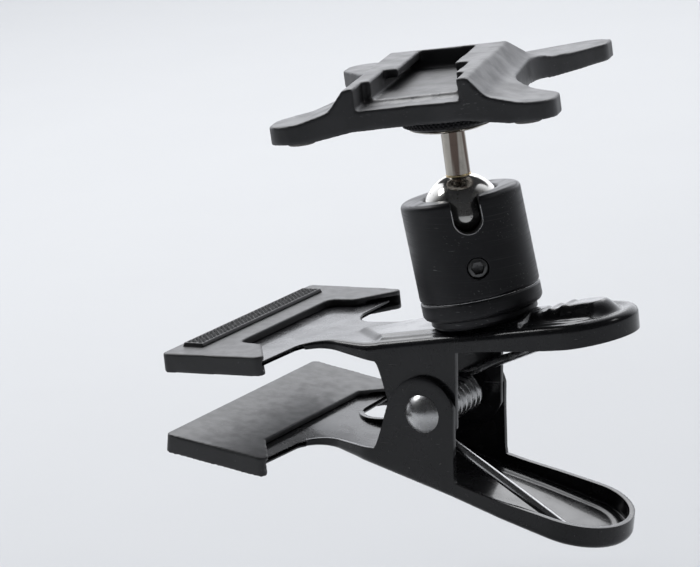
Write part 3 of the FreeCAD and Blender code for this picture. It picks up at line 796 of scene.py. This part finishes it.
def grub_screw():
    """A set screw with a bevelled face and a hexagon socket."""
    rim = [(0, 9.45, 0), (2.0, 9.45, 0.1), (2.33, 9.8, 0.1), (2.33, 12.7, 0.1), (2.05, 12.98, 0.1)]
    across = 2.5 / 2
    segments = 72
    vertices, faces = [], []
    line = [(p.x, p.y) for p in rounded(rim, 0.12)]
    rings = len(line) + 4
    for s in range(segments):
        angle = 2 * math.pi * s / segments
        flat = across / math.cos((angle + math.pi / 6) % (math.pi / 3) - math.pi / 6)
        ring = line + [(flat + 0.12, 12.98), (flat, 12.86), (flat, 11.2), (0.0, 10.9)]
        vertices += [(r * math.cos(angle), r * math.sin(angle), h) for r, h in ring]
    for s in range(segments):
        following = (s + 1) % segments
        for i in range(rings - 1):
            faces.append((s * rings + i, following * rings + i, following * rings + i + 1, s * rings + i + 1))
    return shown(tidied(solid("grub_screw", vertices, faces, SCREW_SIDE)), "housing", "black_steel",
                 ["housing_grub_screw"], 30)


grub_screw()


def ball():
    """The polished ball, flattened a little where the stem enters it."""
    radius, steps = 8.9, 96
    start = math.asin(2.7 / radius)
    line = [(0.0, radius * math.cos(start))]
    for k in range(steps + 1):
        angle = start + (math.pi - start) * k / steps
        line.append((radius * math.sin(angle), radius * math.cos(angle)))
    return shown(lathe("polished_ball", line, STEM, 192), "ball_stem", "chrome_ball", ["ball"])


ball()
turned_piece("stem_post", [
    (0, 6.0, 0), (2.7, 6.0, 0), (2.7, 19.2, 0.2), (3.1, 19.6, 0.1), (3.1, 28.9, 0.1), (2.5, 29.5, 0.1),
    (0, 29.5, 0),
], STEM, "ball_stem", "nickel_stem", ["stem_stud"], 96)
turned_piece("stem_fillet", [
    (2.65, 8.2, 0), (2.85, 8.2, 0.05), (2.85, 8.6, 0.05), (2.78, 8.75, 0.03), (2.65, 8.8, 0),
], STEM, "ball_stem", "brass_insert", segments=96)


def lock_disc():
    """Knurled nut: crossed knurling on the band and a shallow domed underside."""
    outer, low, top, belly = 10.8, 20.3, 24.8, 18.9
    segments, pitch = 480, 60
    line = [(3.2, top), (3.2, belly)]
    for k in range(13):
        radius = 5.0 + (outer - 0.7 - 5.0) * k / 12
        line.append((radius, belly + (low - belly) * (k / 12) ** 2))
    band = 22
    for k in range(band + 1):
        line.append((outer, low + 0.35 + (top - 0.7 - low - 0.35) * k / band))
    line += [(outer - 0.5, top - 0.3), (outer - 0.6, top)]

    def knurl(s, radius, height):
        if radius < outer - 0.01:
            return 0.0
        turn = s * pitch / segments
        climb = (height - low) / 1.15
        rib = max(abs(((turn + climb) % 1.0) - 0.5), abs(((turn - climb) % 1.0) - 0.5)) * 2
        return -0.34 * smooth_step(rib, 0.4, 1.0)

    obj = lathe("knurled_disc", line, STAND, segments, knurl)
    return shown(obj, "disc", "black_anodised", ["lock_disc"], 50)


lock_disc()

# The disc's domed underside carries a polished washer.
turned_piece("disc_washer", [
    (3.25, 18.75, 0), (5.2, 18.75, 0.2), (7.6, 19.05, 1.0), (9.4, 19.75, 0.1), (9.3, 19.95, 0.1),
    (5.0, 19.2, 0), (3.25, 19.2, 0),
], STAND, "disc", "nickel_stem")


# ---------------------------------------------------------------- rivet and spring

def rivet():
    """A shank with a domed head at each end, each with a small flat rim."""
    face, radius, dome = LOWER_HALF + 0.05, 4.3, 2.1
    bulge = (radius ** 2 + dome ** 2) / (2 * dome)
    spread = math.asin(min(1.0, radius / bulge))
    crown = [(bulge * math.sin(spread * k / 14), face + dome - bulge + bulge * math.cos(spread * k / 14))
             for k in range(15)]
    line = crown + [(radius - 0.15, face - 0.02), (2.4, face - 0.02)]
    line += [(r, -h) for r, h in reversed(line)]
    obj = lathe("rivet_turned", line, UPPER @ turned(-90, "X"), 96)
    return shown(obj, "clamp", "zinc_rivet", ["pivot_rivet"])


rivet()

WIRE, COIL, COIL_PITCH, COIL_TURNS, COIL_START = 1.05, 3.65, 2.2, 7.351, 236.3


def spring():
    """One drawn wire: lower leg, coil about the rivet, upper leg. It spans the jaw's joint as one fixed mesh,
    attached to neither jaw.
    """
    half_long = COIL_PITCH * COIL_TURNS / 2
    first = math.radians(COIL_START)
    start = Vector((COIL * math.cos(first), -half_long, COIL * math.sin(first)))
    rest = plate_level(36.0) - SHEET - WIRE
    lower_end = (turned(JAW_REST, "Y") @ turned(180, "X")) @ Vector((36.0, half_long, rest))
    path = [lower_end.lerp(start, k / 40) for k in range(40)]
    steps = int(COIL_TURNS * 48)
    for k in range(steps + 1):
        angle = math.radians(COIL_START - 360 * COIL_TURNS * k / steps)
        along = -half_long + 2 * half_long * k / steps
        path.append(Vector((COIL * math.cos(angle), along, COIL * math.sin(angle))))
    out = math.radians(COIL_START - 360 * COIL_TURNS)
    slope = -math.cos(out) / math.sin(out)
    reach = 40.0 - path[-1].x
    upper_end = path[-1] + Vector((reach, 0, reach * slope))
    last = path[-1]
    path += [last.lerp(upper_end, k / 40) for k in range(1, 41)]
    obj = tube("spring_wire", path, WIRE, UPPER)
    obj.data.materials.append(MATERIALS["spring_steel"])
    obj.data.shade_smooth()
    obj.data.set_sharp_from_angle(angle=math.radians(50))
    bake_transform(obj)
    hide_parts("torsion_spring", "torsion_spring_lower_leg")
    return obj


spring()

# ---------------------------------------------------------------- screw under the plate

turned_piece("screw_washer", [(3.1, -2.0, 0.1), (5.4, -2.0, 0.15), (5.4, -1.22, 0.15), (3.1, -1.22, 0.1)],
             HEAD, "clamp", "zinc_rivet", ["head_screw_washer"], 96)

# ---------------------------------------------------------------- floor, light and camera

scene = bpy.context.scene
FLOOR_DROP = 24.0        # below the piece at rest, so that the opened jaw stays clear of it
FLOOR_HALF = 4000.0
floor_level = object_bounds()[0][2] / MM - FLOOR_DROP
floor_corners = [(x * FLOOR_HALF, y * FLOOR_HALF, 0) for x, y in ((-1, -1), (1, -1), (1, 1), (-1, 1))]
floor = solid("floor", floor_corners, [(0, 1, 2, 3)], Matrix.Translation((0, 0, floor_level)))
floor_finish = Finish("pale_floor", (0.6, 0.61, 0.62), 0.6)
floor_finish.tint(floor_finish.noise(60.0), (0.58, 0.59, 0.6))
floor.data.materials.append(floor_finish.finished())

AZIMUTH, ELEVATION, ROLL, DISTANCE, LENS = 32.851, 12.911, 6.004, 0.8, 181.49


def studio_world():
    """Pale surroundings, brightest overhead and behind, dim on the side of the main view."""
    world = bpy.data.worlds.new("studio")
    world.use_nodes = True
    tree = world.node_tree
    place = tree.nodes.new("ShaderNodeTexCoord")
    dot = tree.nodes.new("ShaderNodeVectorMath")
    dot.operation = "DOT_PRODUCT"
    side = math.radians(AZIMUTH)
    dot.inputs[1].default_value = Vector((-math.sin(side), math.cos(side), 0.55)).normalized()
    spread = tree.nodes.new("ShaderNodeMapRange")
    spread.interpolation_type = "SMOOTHSTEP"
    for name, number in (("From Min", 0.25), ("From Max", 0.95), ("To Min", 0.05), ("To Max", 1.9)):
        spread.inputs[name].default_value = number
    background = tree.nodes["Background"]
    background.inputs["Color"].default_value = (0.93, 0.95, 1.0, 1.0)
    tree.links.new(place.outputs["Generated"], dot.inputs[0])
    tree.links.new(dot.outputs["Value"], spread.inputs["Value"])
    tree.links.new(spread.outputs["Result"], background.inputs["Strength"])
    return world


scene.world = studio_world()
scene.view_settings.view_transform = "Standard"

AIM = Vector((16.815, 0.0, 13.678)) * MM


def direction(azimuth, elevation):
    """The unit vector towards an azimuth and an elevation in degrees."""
    side, height = math.radians(azimuth), math.radians(elevation)
    level = math.cos(height)
    return Vector((math.sin(side) * level, -math.cos(side) * level, math.sin(height)))


def soft_light(name, azimuth, elevation, distance, width, power, aim=AIM):
    """A square area light aimed at the object or at a point of the floor."""
    data = bpy.data.lights.new(name, "AREA")
    data.size = width
    data.energy = power
    lamp = bpy.data.objects.new(name, data)
    lamp.location = AIM + distance * direction(azimuth, elevation)
    lamp.rotation_euler = (aim - lamp.location).to_track_quat("-Z", "Y").to_euler()
    scene.collection.objects.link(lamp)


BEHIND = AIM + Vector((-0.35, 0.55, 0))
soft_light("window", -80, 48, 0.9, 0.25, 1.6)
soft_light("sky_panel", 212, 42, 1.0, 0.8, 4.2, BEHIND)
soft_light("fill", 100, 35, 1.0, 0.2, 0.5)

roll = math.radians(ROLL)
back = direction(AZIMUTH, ELEVATION)
right = (-back).cross(Vector((0, 0, 1))).normalized()
up = right.cross(-back)
tilted_right = right * math.cos(roll) - up * math.sin(roll)
tilted_up = up * math.cos(roll) + right * math.sin(roll)
camera_data = bpy.data.cameras.new("camera")
camera_data.lens = LENS
camera_data.sensor_width = 36.0
camera_data.clip_start = 0.05
camera = bpy.data.objects.new("camera", camera_data)
facing = Matrix((tilted_right, tilted_up, back)).transposed().to_4x4()
camera.matrix_world = Matrix.Translation(AIM + back * DISTANCE) @ facing
scene.collection.objects.link(camera)
scene.camera = camera
